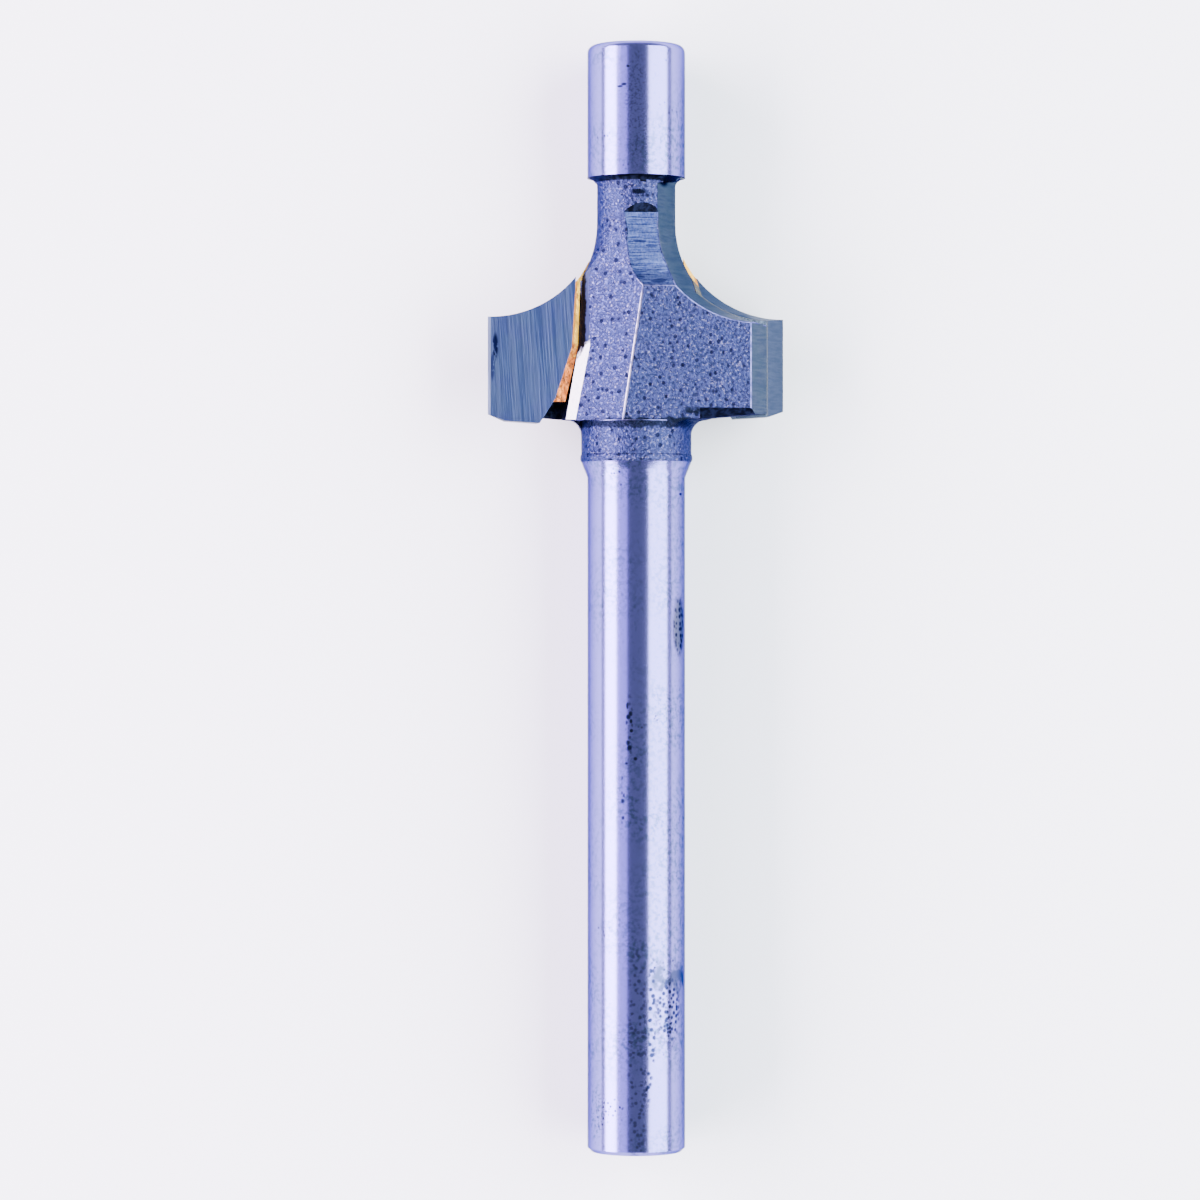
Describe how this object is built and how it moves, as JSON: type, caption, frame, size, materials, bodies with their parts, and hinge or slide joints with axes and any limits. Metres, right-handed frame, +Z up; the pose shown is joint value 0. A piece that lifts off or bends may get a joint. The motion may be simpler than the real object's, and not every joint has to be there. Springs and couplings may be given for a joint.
{
  "type": "router bit",
  "caption": "Round-over router bit: brazed carbide tips on opposed wings with a concave profile, a solid pilot on a slim neck and a straight shank, lying on its side.",
  "frame": {"origin": "centre of the bounding box's base, on the surface the bit lies on", "axes": "+Y along the tool axis from the shank towards the pilot, +Z up, +X towards the wing whose rake face looks down"},
  "size_m": [0.0192, 0.0716, 0.0073],
  "materials": {
    "steel": "ground shank and pilot, blasted head",
    "carbide": "ground",
    "braze": "as flowed"
  },
  "bodies": {
    "root": {"body": "steel", "carbide_tip_1": "carbide", "carbide_tip_2": "carbide", "braze_joint_1": "braze", "braze_joint_2": "braze"}
  },
  "joints": []
}
